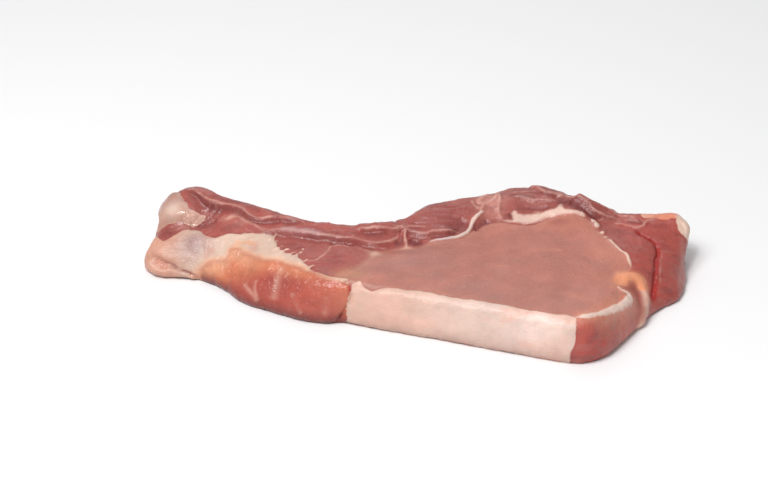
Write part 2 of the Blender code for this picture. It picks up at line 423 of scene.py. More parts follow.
# %% Strips of muscle, and the thin white lines along them
STEPS = {
    # Where one muscle lies higher than the next in front of it: its crest, its height and its wall's width.
    "back strip": (
        [(-86.6, 41.4), (-81.1, 37.3), (-78.2, 34.4), (-74.8, 32.2), (-72, 31.3), (-69, 30),
        (-65.8, 27.5), (-63.6, 25.4), (-61, 22.8), (-58.5, 21.2),
         (-52, 20.8), (-47, 19.4), (-41, 17)],
        1.5, 1.8,
    ),
    "middle strip": (
        [(-70, 25.4), (-65.7, 23.8), (-62, 20.2), (-59.5, 18.2), (-56.5, 16), (-49, 14.4), (-39, 10.8),
         (-32, 9.4), (-25, 8.2), (-18.4, 7.8), (-15, 7.2), (-11.6, 7.3), (-9, 8.6), (-7.2, 11), (-6.8, 13)],
        1.4, 1.9,
    ),
    "short strip": ([(-22, 12.6), (-16.5, 12.9), (-12.6, 12.8), (-9, 12.9), (-6, 14)], 0.9, 1.2),
    "strap": ([(-8, 14.4), (-4.8, 14.4), (-1, 13), (2.6, 11.9), (6, 12.4), (11, 12.9), (15, 13.4)], 1.2,
    1.4),
    "top fold": ([(41, 38), (44.3, 36.8), (46.2, 33.8), (48.4, 32.3), (51.6, 32.2), (55, 31.4)], 1.2, 1.6),
    "middle fold": ([(36, 31.4), (40, 31), (43.6, 30), (47, 30.2), (51, 29.6)], 0.6, 1.2),
    "long fold": ([(58, 31), (61, 29), (63.2, 27), (65, 25.4), (68.4, 23.9), (71, 23.9), (74, 24.6)], 1.3,
    2.0),
    "back fold": ([(57, 32.4), (60, 30.8), (63, 29), (67, 27.9), (73, 26.6), (79.8, 24.6), (83, 22.8)],
    1.1, 1.8),
    "ear": ([(73, 22.4), (77.9, 21.2), (80.9, 20), (82.9, 20.9), (84.6, 22.9), (88, 23.2)], 0.6, 1.2),
}
FRONT_MUSCLE = [(-32, 4.2), (-28, 5), (-24, 4.3), (-21.2, 4.8), (-18.8, 3.8), (-16.4, 3)]
BRANCH = [(-31, 4.6), (-33, 0), (-36, -2.8), (-42, -4.2)]
POST = [(-4.4, 14), (-4.3, 11), (-3.8, 6.6)]
WHITE_TENDON = [
    (5, 8.8), (7.5, 9.2), (10.5, 10), (14.3, 10.8), (16.4, 12.2), (18.6, 15.1), (20.1, 18.5), (22, 21.4),
    (24.4, 23.8),
]
TENDON_WEB = [
    [(23, 22.4), (24.3, 26), (22.8, 28), (24.5, 31), (27, 34)],
    [(24.4, 24), (22.4, 25), (20.6, 26.8), (20.8, 28.4)],
    [(24.3, 26), (27, 28.5), (28.6, 31), (30, 34.5)],
    [(30.1, 35.5), (30.6, 31), (30, 27), (30, 24), (31.4, 21)],
]
RIDGE_FAT = [
    (31.6, 20.9), (35, 22.2), (34.8, 24.4), (36, 25.7), (37.4, 24.6), (40.4, 24.4), (44, 25), (49.5, 25.2),
    (51.4, 26), (52.8, 27.2), (53.8, 25.4), (56, 24.4), (60.4, 23.6), (61.4, 21.8), (57.8, 23), (53, 23),
    (49, 23.2), (45, 22.4), (40.5, 21), (36, 21.2),
]
NODULES = [
    # place, radius and height, in mm
    ((64.6, 20.2), 1.3, 0.9), ((65.6, 18.6), 1.2, 0.8), ((67.2, 15.4), 1.0, 0.6), ((68.4, 12.6), 0.8, 0.5),
]
SIDE_TENDON = [(69.2, 11.4), (71, 7.8), (72.4, 5), (74.6, 2.4), (75.6, 0), (75.9, -3.4)]
BACK_STREAKS = [
    [(-2, 16.8), (4, 16.2), (9, 16.4), (14, 16)],
    [(0, 18.8), (5, 18.2), (11, 18.8), (17, 19.4)],
    [(2, 21.2), (8, 21), (13, 21.8), (19, 23)],
    [(4, 23.6), (10, 24), (17, 25.6)],
    [(8, 27), (13, 27.6), (20, 30)],
    [(34, 31), (38, 33.5), (42, 34)],
    [(36, 37), (41, 33), (45, 31), (52, 30.4)],
]
KNOB_FIBRES = [[(-73.5 + step, 31 - step), (-77.5 + step, 27.6 - step), (-81.5 + step, 23.6 - step)]
    for step in
               (-1.6, 0.2, 1.8, 3.8)]
LIP = [
    (-98.6, 16.6, 6.4), (-97.6, 14.6, 4.8), (-96, 12.8, 3.4), (-92.5, 11.3, 2.5), (-89.3, 11.4, 2.7),
    (-85, 11, 2),
    (-80, 9, 1.4),
]
LIP_FOLD = [
    (-98.4, 18, 8), (-96.6, 15.9, 7), (-94.3, 14.2, 6.8), (-91.4, 12.9, 5.8), (-89.3, 12.5, 5),
    (-87.2, 11.7, 4),
    (-83.6, 10.8, 2.8), (-79.5, 9.4, 1.6),
]
LIP_RECESS = [(-95.4, 14.4, 6.2), (-93, 12.8, 5), (-90.6, 12.1, 4.2)]
LOBE_RUTS = [
    # route, half its width in mm
    ([(-62.1, -3.1, 6.8), (-60.5, -5.7, 6), (-58.6, -8.4, 4.8), (-56.8, -10.3, 3.2)], 0.7),
    ([(-57.5, -4.2, 9.2), (-58, -7, 6.7), (-57.4, -9.4, 4.6)], 0.5),
    ([(-48.2, -4.2, 15), (-49.3, -7.5, 11.9), (-50.1, -9.3, 9.9), (-50.7, -11, 7.8), (-51, -12.9, 4.8)],
    1.2),
    ([(-44, -14, 9), (-41, -18.5, 3)], 0.7), ([(-33, -16, 13), (-32, -18.6, 9), (-33, -20, 3)], 0.8),
]
LOBE_END = [(-23.4, -17.4, 16), (-23.8, -19.4, 14), (-24, -20.4, 11), (-25.6, -20.8, 6), (-28, -20.4, 1),
    (-29, -20, -1)]
LOBE_RIM = [(-36.5, -10.8), (-34.4, -13), (-31, -15.2), (-27.4, -16.4), (-25, -16.6)]

# %% [markdown]
# ## Relief
#
# The relief is sculpted by moving each vertex along its normal. Three strokes do nearly all of it. A crease
# is a sharp V, such as the seam between two muscles. A swell is a soft rise. A step is a rise with a crest
# and a wall, as where one muscle was cut higher than its neighbour. Displacement in code was chosen over
# hand sculpting because each stroke keeps its name and its size in millimetres.

# %% The sculpting strokes
TAPER = 0.12  # share of a route over which a stroke fades at each end
WANDER = ((5.0, 0.35), (1.8, 0.22))  # over how many mm a route wanders, and how far


def wandering(spots):
    """The places as the routes see them: slightly shifted, so that no route is a ruled line."""
    drift = np.zeros_like(spots)
    for size, strength in WANDER:
        drift += np.column_stack([unevenness(spots, size, shift) for shift in (3, 11, 19)]) * strength
    return spots + drift


places = np.array([vert.co for vert in flesh.verts]) / MM
normals = np.array([vert.normal for vert in flesh.verts])
upward = ease(normals[:, 2], 0.0, 0.4)
guide = wandering(places)
rise = np.zeros(len(places))


def taper(share):
    return ease(share, 0, TAPER) * ease(1 - share, 0, TAPER)


def crease(route, depth, width, closed=False):
    away, _, share = reach(route, guide, width * 6, closed)
    return -depth * np.exp(-away / width) * (1 if closed else taper(share))


def swell(route, height, width):
    away, _, share = reach(route, guide, width * 3)
    return height * np.exp(-((away / width) ** 2)) * taper(share)


def step(route, height, wall, fall=4.5):
    """Rises over the wall's width up to the route, which is the crest, and falls away slowly behind it."""
    away, side, share = reach(route, guide, fall * 4)
    behind = away * side
    return height * ease(behind, -wall, 0.1) * np.exp(-behind.clip(0) / fall) * taper(share)


print("relief starts from", len(places), "vertices")

# %% Relief of the loin
rise += upward * crease(EYE, 0.35, 0.8, closed=True)
eye_depth = depth_inside(EYE, guide)
rise += upward * 0.45 * ease(eye_depth, 0, 8)
rise += upward * ease(eye_depth, 0, 3) * unevenness(places, 13, 31) * 0.3
for place, radius, height in NODULES:
    rise += upward * height * np.exp(-((np.linalg.norm(guide[:, :2] - place, axis=1) / radius) ** 2))
rise += upward * swell(SIDE_TENDON, 0.6, 1.0)
rise += upward * 0.4 * ease(-signed(guide, FAT_CUT_EDGE, 6), -0.3, 0.6) * ease(guide[:, 0], -24, -20)

# %% Relief of the strips, the ridge and its folds
for crest, height, wall in STEPS.values():
    rise += upward * step(crest, height, wall) * (1 + 0.3 * unevenness(places, 6, 17))
    rise += upward * crease([(x, y - wall) for x, y in crest], 0.15, 0.8)
rise += upward * (swell(FRONT_MUSCLE, 0.6, 1.3) + crease([(x, y + 1.4) for x, y in FRONT_MUSCLE], 0.8, 0.8))
rise += upward * (crease(BRANCH, 0.35, 0.7) + swell(POST, 1.0, 0.9))
rise -= upward * 0.8 * blob(guide, (-0.4, 8.8), (2.8, 1.6))
rise += upward * swell(WHITE_TENDON, 0.8, 0.9)
rise += upward * swell([(12, 15), (15.4, 16.4), (17.6, 20)], -0.5, 2.0)
rise += upward * swell([(20.6, 15.6), (23, 18), (26.5, 20.6)], -0.8, 1.1)
for route in (*BACK_STREAKS, *KNOB_FIBRES):
    rise += upward * crease(route, 0.45, 0.5)
for route in TENDON_WEB:
    rise += upward * swell(route, 0.45, 0.9)
rise += upward * 0.4 * blob(guide, (27, 29), (6, 9)) * unevenness(places, 2.2, 37)
rise += upward * swell([(36.4, 26.6), (41, 27), (45, 26.9), (49, 26.8)], -0.25, 0.9)
rise += upward * swell([(56, 28), (60, 25.6), (64, 22.8), (68, 21.6)], -0.9, 1.5)
rise += swell([(64, 32), (75, 29.5), (86, 28), (98, 26)], 1.2, 4.0)
rise += upward * swell([(-84, 24.5), (-79, 25), (-74, 27)], -0.8, 2.2)
rise += 1.2 * blob(guide, (-6, 21), (9, 6))
rise += 1.4 * blob(guide, (-81, 40.5, 17), (8, 5, 6)) + 1.5 * blob(guide, (-89.5, 40.5, 18), (3, 4, 5))

# %% Hollows and swellings of the back edge
BACK_EDGE = [
    # middle, radii, height
    ((-47, 22, 18), (10, 5, 5), -1.0), ((-28, 17, 18), (14, 6, 6), -0.7), ((17, 33, 20), (13, 8, 6), -0.6),
    ((35.5, 38.6, 22), (4, 5, 5), 1.0), ((64.5, 34, 19), (7, 6, 5), -1.5), ((-91, 34, 20), (4, 5, 4), -0.8),
    ((100, 17, 2), (5, 8, 7), -2.0),
]
for middle, radii, height in BACK_EDGE:
    rise += height * blob(guide, middle, radii)

# %% Relief of the knob, the flank fat and the lobe
knob_depth = depth_inside(CARTILAGE, guide)
rise += upward * (0.7 * ease(knob_depth, -0.3, 2.5) - 0.5 * np.exp(-np.abs(knob_depth) / 0.6))
torn = -signed(guide, TORN_FAT_EDGE, 30)
rise += upward * 0.55 * ease(torn, -0.3, 0.5) * np.exp(-np.abs(torn) / 7) * ease(-guide[:, 0], 31, 36)
for route in FAT_SPIKES:
    rise += upward * swell(route, 0.35, 0.5)
rise += swell(LIP, 1.2, 1.4) + crease(LIP_FOLD, 1.3, 0.6) + swell(LIP_RECESS, -0.8, 1.0)
rise += upward * 0.7 * blob(guide, (-81.5, 18), (5, 3.4))
for route, width in LOBE_RUTS:
    rise += crease(route, 0.5, width)
rise += crease(LOBE_END, 1.8, 0.6)
rise += upward * swell(LOBE_RIM, 0.5, 0.8)

# %% Relief of the side lobe and the corner
rise += crease(CLEFT, 1.6, 0.5)
rise += swell(ORANGE_CURL, 1.2, 2.2)
rise += upward * swell(WHITE_CURL, 0.8, 1.0)
rise += swell([(98.5, 22, 16), (99.5, 24, 14)], 0.8, 3.0)

# %% [markdown]
# Over all of it lies a soft unevenness, because nothing that was alive is ruled flat. On the sides it is
# stretched, so that it reads as bundles of fibre. The underside is pressed flat by its own weight, so its
# relief only reaches upwards: shallow furrows where the seams come through.

# %% Unevenness, and the underside
fibres = places * (1.0, 1.0, 0.35)
sideways = 1 - np.abs(normals[:, 2])
calm = 1 - 0.7 * ease(eye_depth, -1, 2) * upward  # the eye was cut with one clean stroke
rise += calm * (0.22 * unevenness(places, 4.5, 41) + 0.16 * unevenness(places, 1.9, 47))
rise += 0.4 * ease(normals[:, 1], 0.2, 0.6) * ease(places[:, 2], 8, 14) * unevenness(places, 3.4, 83)
rise += 0.18 * sideways * unevenness(fibres, 2.4, 53)
underneath = ease(-normals[:, 2], 0.6, 0.9)
furrows = -crease(EYE, 0.5, 0.9, closed=True)
for route in (*(crest for crest, _, _ in STEPS.values()), TORN_FAT_EDGE, WHITE_TENDON):
    furrows -= crease(route, 0.5, 0.8)
furrows += 0.15 * (1 + unevenness(places, 9, 61))

moved = places + normals * (rise * (1 - underneath))[:, None]
moved[:, 2] += underneath * furrows
moved[:, 2] = moved[:, 2].clip(0)
for vert, place in zip(flesh.verts, moved * MM):
    vert.co = place
relax(flesh, 1, 0.3)
by_the_cleft = reach(CLEFT, places, 4)[0] < 3
relax(flesh, 2, 0.5, [vert for vert, near in zip(flesh.verts, by_the_cleft) if near])
flesh_mesh = bpy.data.meshes.new("flesh")
flesh.to_mesh(flesh_mesh)
flesh.free()
print("relief from", round(rise.min(), 2), "to", round(rise.max(), 2), "mm")

# %% [markdown]
# ## Cut it into its pieces
#
# Now the body is cut where lean and fat meet, so that each piece stands for one solid of the frame. A Boolean
# with a tall prism makes both sides of a cut fit each other exactly, and leaves the skin above unbroken.

# %% Cutters and pieces
CUT_TOP = 40.0
CUT_BOTTOM = -5.0
OUTSIDE = 8.0  # mm that a cutter reaches past the chop's side
PIECES = {
    # name: (CAD node, the cutters that shape it, and how)
    "loin_and_rib_lean": ("lean_meat", "DIFFERENCE", ("band", "flank", "knob")),
    "back_fat_band": ("back_fat", "INTERSECT", ("band",)),
    "flank_fat_flap": ("flank_fat", "INTERSECT", ("flank",)),
    "rib_knob": ("rib_end", "INTERSECT", ("knob",)),
}


def prism(name, outline, bottom=CUT_BOTTOM):
    bm = bmesh.new()
    face = bm.faces.new([bm.verts.new((x, y, bottom)) for x, y in outline])
    raised = bmesh.ops.extrude_face_region(bm, geom=[face])["geom"]
    top = [item for item in raised if isinstance(item, bmesh.types.BMVert)]
    bmesh.ops.translate(bm, verts=top, vec=(0, 0, CUT_TOP - bottom))
    bmesh.ops.scale(bm, verts=bm.verts, vec=(MM, MM, MM))
    bmesh.ops.recalc_face_normals(bm, faces=bm.faces)
    return to_object(name, bm)


inner, outer = np.array(BACK_FAT_SEAM), np.array(BACK_FAT)
clear = outer[:, 1].min() - OUTSIDE
band_outline = [*BACK_FAT_SEAM[::-1], (BACK_FAT_SEAM[0][0] - 1.5, -28), (BACK_FAT_SEAM[0][0], clear),
                (BACK_FAT_SEAM[-1][0], clear)]
turn = np.linspace(0, 2 * math.pi, 48, endpoint=False)
oval = np.column_stack([np.cos(turn), np.sin(turn)]) * KNOB_RADII
tilt = np.array([[math.cos(KNOB_TURN), math.sin(KNOB_TURN)], [-math.sin(KNOB_TURN), math.cos(KNOB_TURN)]])
cutters = {
    "band": prism("band cutter", band_outline),
    "flank": prism("flank cutter", smooth_route(FLANK_FAT_PLAN, closed=True)[:-1]),
    "knob": prism("knob cutter", oval @ tilt + KNOB_MIDDLE, KNOB_BOTTOM),
}
made = {}
for name, (node, operation, shapers) in PIECES.items():
    piece = add_object(name + " before the cut", flesh_mesh.copy())
    for shaper in shapers:
        cut = piece.modifiers.new(shaper, "BOOLEAN")
        cut.operation = operation
        cut.object = cutters[shaper]
    made[name] = add_object(name, with_modifiers_applied(piece))
    print(name, len(made[name].data.polygons), "faces")
for cutter in cutters.values():
    bpy.data.objects.remove(cutter)

# %% [markdown]
# ## Paint
#
# Each muscle has its own red, and the fat runs from cream through orange to red where it thins out over the
# lean. Washes of colour are laid on the vertices as in Vertex Paint: first the broad ones, then those along
# the seams. Some washes are painted shade on walls, in hollows and creases and at the foot of the chop,
# and a few are painted highlights. The edge between lean and fat has to be sharper than the mesh, so it
# isn't painted: a vertex holds how many millimetres it lies inside the fat, and the shader draws the edge at
# zero, with a ragged pattern added.

# %% Colours of the flesh
LEAN = {
    # The hollow's dark red is painted shade, for the relief's hollow between the knob and the back strip.
    "rib": "#a04e46", "strip": "#a7544b", "front muscle": "#aa5a52", "hollow shade": "#7a3c3b", "eye": "#b06a5a",
    "eye left": "#ab6e61", "eye right": "#c67c69", "eye grey": "#a8736a", "eye edge": "#c08572",
    "back": "#984f49", "dark": "#73302f", "fold": "#a4625a", "ridge": "#8c4542", "side lobe": "#a84d44",
    # The lobe's darkest red is painted shade for its foot, and it is also laid in random blotches.
    "corner": "#ae4840", "corner top": "#cf8770", "lobe": "#a84e42", "lobe shade and blotch": "#7c322b",
    "lobe right": "#bd6150", "orange": "#c97858", "trimmed side": "#965049", "pink": "#c08074",
    "cleft": "#a0241c", "orange curl": "#ee9c74", "pale strip": "#e2b6a0", "membrane": "#b0746c",
    # The bluish silver colour is silver skin with a painted highlight on it.
    "tan": "#c08468", "silver skin and sheen": "#c6aeb2",
}
FAT = {
    "back fat": "#dcbfb2", "back fat left": "#d9ae9c", "back fat right": "#e5c9be",
    # This colour is painted shade for the foot of the back fat.
    "back fat lower shade": "#b89485",
    "back fat pink": "#e3b5a4", "flank": "#d5b6a4", "flank pink": "#c99787", "flank grey": "#a07c7a",
    "flank orange": "#e0a684", "flank low": "#c99079", "tendon": "#dcc0b4", "bluish": "#c3b0b6",
    "ridge": "#dfbbac", "nodule": "#dcb9a8", "lobe top": "#d78468", "corner": "#dcbcaa",
    # The bright cartilage colour is a painted highlight on the knob's upper left front.
    "cartilage": "#b68878", "cartilage highlight": "#dcbfb0", "cartilage tongue": "#d4a899",
    # The dark red fold colour is laid as painted shade in the lip's creases and along its foot.
    "white curl": "#e4c6b8", "fold": "#8a4238", "recess": "#c9826e", "rim": "#e2bba2",
}
FILM = "#d8a496"  # thin seams of connective tissue, through which the lean shows


# %% Brushes
def wash(tint, colour, share):
    """Lays a colour over the tints, as densely as share says."""
    tint += share[:, None] * (linear(colour) - tint)


def line(spots, route, width):
    """1 along the route, fading over the width and at the route's ends."""
    away, _, share = reach(route, spots, width * 3)
    return np.exp(-((away / width) ** 2)) * taper(share)


def patches(spots, size, shift, low=0.0, high=0.6):
    """0 or 1 with soft borders, in random patches of about the given size in mm."""
    return ease(unevenness(spots, size, shift) + 0.4 * unevenness(spots, size / 2.3, shift + 5), low, high)


# %% Washes over the lean
AREAS = [
    # colour, middle, radii, strength
    # painted shade in the hollow beside the knob
    ("hollow shade", (-80, 26), (5, 3.5), 0.6), ("front muscle", (-38, 4), (20, 8), 1.0),
    ("back", (8, 20), (14, 10), 1.0),
    ("pink", (13, 29), (5, 2.2), 0.35), ("pink", (-1, 22), (4, 2), 0.3), ("pink", (40, 37), (6, 2), 0.4),
    ("pink", (27.5, 29), (5.4, 9), 1.0), ("fold", (41, 33), (8, 6), 0.9), ("ridge", (60, 27), (9, 4), 0.8),
    ("tan", (-26, -14), (4, 3.5), 0.8), ("dark", (-92, 22.5), (4.5, 3), 0.6),
    # the first dark patch on this line is painted shade in the hollow between the knob's tongue and the back
    # strip
    ("dark", (-75.5, 29), (4, 3.5), 0.4), ("membrane", (-85.3, 24.4), (3.4, 1.6), 0.8),
    ("pale strip", (-68, 25.2), (2.6, 1.2), 0.6), ("ridge", (-44, 6), (9, 5), 0.5),
    ("pink", (-64, 21), (4, 2), 0.6),
    ("pink", (73, 24), (4, 2.5), 0.5),
]
# Painted shade: dark washes on the walls below the strips' crests, in the hollows, creases and gaps of the
# relief, and inside the orange curl. Along some of them the lean is darker too.
DARK_AND_SHADE_LINES = [
    # route, width in mm, strength
    ([(x, y - 1.6) for x, y in STEPS["back strip"][0]], 1.1, 0.65),
    ([(x, y - 1.8) for x, y in STEPS["middle strip"][0][3:12]], 1.3, 0.4),
    ([(x, y - 3) for x, y in STEPS["middle strip"][0][7:13]], 1.0, 0.3),
    ([(-76, 34.6), (-71.5, 33), (-64.8, 29.8), (-57, 24.4)], 1.0, 0.45),
    ([(-20, 11.4), (-15, 11), (-10, 11.2)], 0.9, 0.5), ([(-8.4, 8.4), (-5.6, 9), (-5, 12)], 1.2, 0.7),
    ([(-2.8, 11), (-0.4, 8.2), (2.4, 8.6)], 1.5, 0.95), ([(4.6, 10.2), (8, 11), (14, 12)], 0.6, 0.7),
    ([(10, 14), (15, 15.6), (17.8, 20)], 2.2, 0.5), ([(20.6, 15.6), (23, 18), (26.5, 20.6)], 1.0, 0.7),
    ([(36.2, 26.8), (41, 26.8), (45, 26.9), (49.4, 26.8)], 0.9, 0.5),
    ([(33, 24.4), (34.4, 23.6), (35.4, 25)], 0.8, 0.7),
    ([(36, 32.4), (40, 31.4), (44, 31)], 0.7, 0.5),
    ([(51, 28.6), (56, 27.6), (61, 24.8), (66, 22)], 1.5, 0.85),
    ([(77.4, 23.4), (80.3, 22.3), (83, 22)], 0.8, 0.6),
    ([(-24, -19, 15), (-24, -20.4, 10), (-26.4, -20.6, 5)], 0.6, 0.6),
    ([(-97, 16, 7), (-94.4, 12.8, 5), (-90, 12.8, 5), (-84, 11.4, 3.8)], 0.5, 0.7),
    ([(46, 19.8), (52, 20.6)], 1.0, 0.35),
    (CLEFT[:4], 0.6, 0.8), ([(74, -14.6, 12.4), (76.6, -15.6, 10), (77.2, -19, 8)], 0.8, 0.25),
    ([(41, 34.4), (45, 33), (49.6, 31.2)], 0.6, 0.5), ([(45, 36), (48, 34.6), (53, 33.6)], 0.7, 0.5),
]


def paint_lean(spots):
    tint = np.tile(linear(LEAN["rib"]), (len(spots), 1))
    x, y, z = spots.T
    wash(tint, LEAN["strip"], ease(-x, 20, 40) * ease(y, 8, 14))
    for colour, middle, radii, strength in AREAS:
        wash(tint, LEAN[colour], strength * blob(spots, middle, radii))
    wash(tint, LEAN["side lobe"], ease(x, 70, 78))
    wash(tint, LEAN["corner"], ease(x, 51, 55) * ease(-y, 22, 28))
    wash(tint, LEAN["trimmed side"], 0.6 * ease(-z, -13, -9) * ease(y, 12, 20))
    wash(tint, LEAN["fold"], 0.45 * patches(spots * (0.35, 1, 1), 1.6, 7))
    wash(tint, LEAN["dark"], 0.35 * patches(spots * (0.35, 1, 1), 2.6, 23, 0.1, 0.7))
    # painted shade along the walls, hollows, creases and gaps
    for route, width, strength in DARK_AND_SHADE_LINES:
        wash(tint, LEAN["dark"], strength * line(spots, route, width))
    inside_eye = depth_inside(EYE, spots)
    eye = ease(inside_eye, -0.6 - 2.0 * blob(spots, (-21, -8), (6, 12)), 0.7)
    wash(tint, LEAN["eye"], eye)
    wash(tint, LEAN["eye left"], 0.8 * eye * ease(-x, -30, 10))
    wash(tint, LEAN["eye right"], 0.8 * eye * ease(x, 50, 72))
    swirl = np.column_stack([spots[:, 0] * 0.6 + y * 0.5, y - x * 0.3, z])
    wash(tint, LEAN["eye left"], 0.6 * eye * ease(-y, 12, 28))
    wash(tint, LEAN["eye grey"], 0.6 * eye * patches(swirl, 13.0, 13, -0.3,
        0.8) * (1 - 0.6 * ease(x, 30, 55)))
    wash(tint, LEAN["eye right"], 0.35 * eye * patches(swirl, 6.0, 77, 0.0, 0.9))
    wash(tint, LEAN["eye edge"], 0.6 * eye * np.exp(-np.abs(inside_eye) / 1.2))
    wash(tint, LEAN["tan"], 0.8 * blob(spots, (-23, -13), (4.5, 4)))
    wash(tint, LEAN["pale strip"], 0.75 * blob(spots, (-15.4, 1.6), (2.2, 2.2))
        + 0.5 * blob(spots, (-3.6, 6), (2, 1)))
    # silver skin along the middle strip's crest, with a painted bluish highlight
    wash(tint, LEAN["silver skin and sheen"], 0.5 * line(spots, [(-50, 15), (-46, 13.8), (-40, 11.6), (-34, 10)], 1.0))
    wash(tint, LEAN["membrane"], 0.5 * blob(spots, (9, 8), (6, 1.6)))
    wash(tint, LEAN["dark"], 0.35 * blob(spots, (51.5, 20.2), (3, 1.4))
        + 0.15 * blob(spots, (7, 3.4), (3, 1.5)))
    wash(tint, LEAN["fold"], 0.35 * blob(spots, (58, 9), (8, 5)) + 0.25 * blob(spots, (10, -3), (9, 4)))
    wash(tint, LEAN["corner top"], ease(x, 52, 55) * np.exp(-((signed(spots, WHITE_CURL, 12) / 3.0) ** 2)))
    wash(tint, LEAN["membrane"], 0.6 * patches(spots * (0.4, 1, 1), 5, 57) * ease(-z, -13, -9) * ease(y,
        12, 20))
    wash(tint, LEAN["pale strip"], (1.5 * line(spots, ORANGE_CURL[2:], 1.7)).clip(0, 1))
    wash(tint, LEAN["orange curl"], (2 * line(spots, [(71, -17, 13), *ORANGE_CURL[:5]], 2.2)).clip(0, 1))
    wash(tint, LEAN["cleft"], (2 * line(spots, CLEFT, 0.9)).clip(0, 1))
    wash(tint, LEAN["membrane"], 0.4 * ease(x, 93.5, 96.5) * ease(-z, -13, -9) + 0.6 * line(
        spots, [(97, 19, 14), (97, 13, 10), (96.4, 8, 6.5), (94, -3, 3.5)], 1.1))
    return tint, eye


def paint_lobe(spots, tint):
    """The front lobe: orange under the thin edge of the fat, then red, then painted shade near the floor."""
    below = -signed(spots, LOBE_FADE)
    in_front = ease(-spots[:, 0], 23.4, 24.6) * ease(below, -0.6, 1.0)
    left = ease(-spots[:, 0], 52, 66)
    wash(tint, LEAN["orange"], in_front)
    wash(tint, FAT["flank orange"], in_front * 0.7 * left * ease(-below, -5, -1))
    wash(tint, LEAN["lobe"], in_front * ease(below - 3.0 * left, 1.2, 5.0 + 3 * left))
    wash(tint, LEAN["lobe right"], in_front * 0.9 * blob(spots, (-31, -16), (9, 6)))
    # painted shade: the lobe darkens towards the floor
    wash(tint, LEAN["lobe shade and blotch"], in_front * ease(-spots[:, 2], -6, -1))
    # the same dark red in random blotches
    wash(tint, LEAN["lobe shade and blotch"], in_front * 0.15 * patches(spots, 4.0, 43))
    for route, width in LOBE_RUTS:
        wash(tint, LEAN["pale strip"], in_front * 0.3 * line(spots, route,
            1.3 * width) * (1 + 0.6 * unevenness(spots, 2, 9)))
    # painted shade in the gap between the lobe's end and the back fat
    wash(tint, LEAN["cleft"], (1.4 * line(spots, LOBE_END, 0.6)).clip(0, 0.95))
    return in_front


# %% Thin seams
FILM_LINES = [
    # route, half its width in mm, strength
    # The pale lines along the strips' crests are seam film with a painted highlight.
    *((crest, 0.3, 0.62) for crest, _, _ in STEPS.values()), (FRONT_MUSCLE, 0.25, 0.7), (BRANCH, 0.2, 0.7),
    (POST, 0.5, 0.8), ([(-9, 14.4), (-5, 15), (-1, 15.4), (3, 14.6)], 0.3, 0.5), (SIDE_TENDON, 0.8, 0.8),
    # The faint pale lines along the knob's fibres are a painted highlight.
    *((route, 0.7, 0.6) for route in TENDON_WEB), *((route, 0.1, 0.25) for route in KNOB_FIBRES),
    ([(43, 26), (46, 25.8)], 0.1, 0.6),
    ([(52, 31.2), (55, 31.5), (58, 30.6)], 0.3, 0.7),
    ([(-24, 14.6), (-18, 15.2), (-12, 15.6), (-8, 16.4)], 0.3, 0.5),
    ([(88.9, 11), (88.6, 7), (87.6, 2), (86.8, -4)], 0.1, 0.4),
    (RIDGE_FAT[13:], 0.8, 0.8),
    ([(73, -27, 9), (70, -33, 6), (66, -38, 3)], 0.15, 0.4), ([(36, 33.6), (40, 35), (44, 34.4)], 0.2, 0.6),
]


def paint_film(spots):
    """How deep each spot lies in a seam, in mm, and how white the seam is there."""
    inside = np.full(len(spots), -FAR)
    film = np.zeros(len(spots))
    for route, width, strength in FILM_LINES:
        away, _, share = reach(route, spots, width * 4)
        depth = width * (0.3 + 0.7 * taper(share)) * (0.8 + 0.5 * unevenness(spots, 2.6, 91)) - away
        closer = depth > inside
        inside[closer] = depth[closer]
        film[closer] = strength * (away < FAR)[closer]
    return inside.clip(-20, 20), (film * (0.9 + 0.6 * unevenness(spots, 3.4, 95))).clip(0, 1)


# %% Inside the fat, in millimetres
FAT_LINES = [(WHITE_TENDON, 0.65), (WHITE_CURL, 0.95), (SIDE_TENDON, 0.5), (LOBE_RIM, 0.9)]
BAND_SLANT = 5.5  # mm by which the back fat's left end slants from its top to the floor


